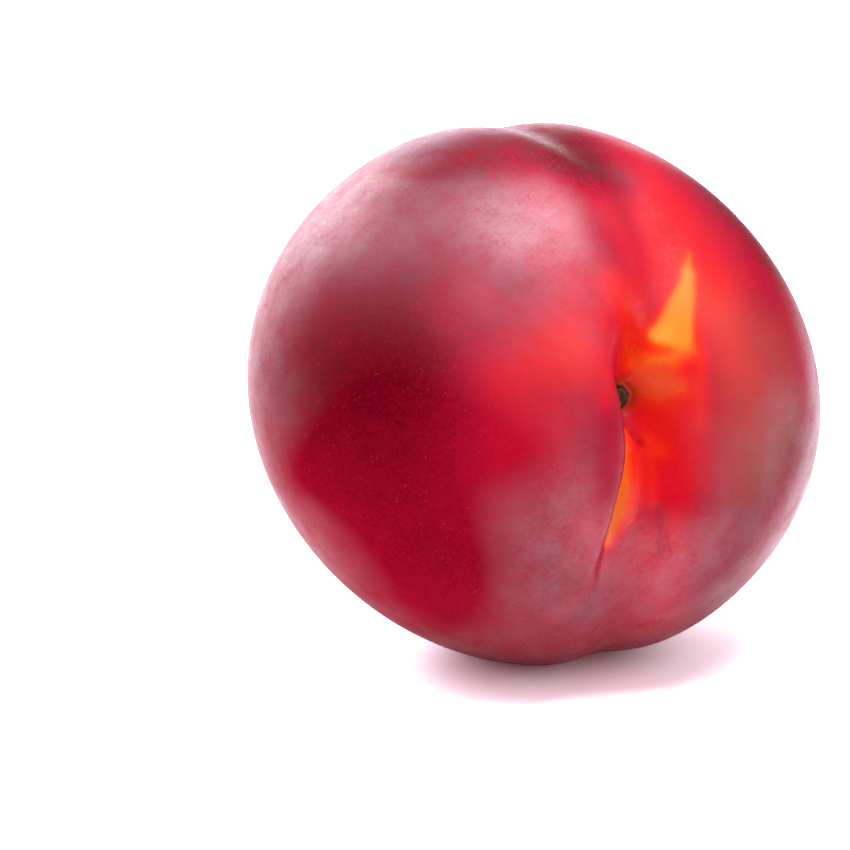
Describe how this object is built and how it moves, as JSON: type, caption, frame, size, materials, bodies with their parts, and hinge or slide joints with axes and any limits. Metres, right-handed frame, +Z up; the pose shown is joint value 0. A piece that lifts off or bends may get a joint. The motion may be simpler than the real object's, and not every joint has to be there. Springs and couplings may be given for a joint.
{
  "type": "nectarine",
  "caption": "Whole ripe nectarine lying on its side, its deep stem cavity and suture groove turned to the front, resting on a small flat spot.",
  "frame": {"origin": "centre of the bounding box's underside, in the plane that the fruit rests on", "axes": "+Z up, +X towards the right-hand cheek as seen from the stem end, -Y towards the stem end"},
  "size_m": [0.0724, 0.0676, 0.0676],
  "materials": {
    "nectarine_skin": "smooth waxy fruit skin, deep crimson with a yellow and orange ground in the stem cavity"
  },
  "bodies": {
    "root": {"nectarine": "nectarine_skin"}
  },
  "joints": []
}
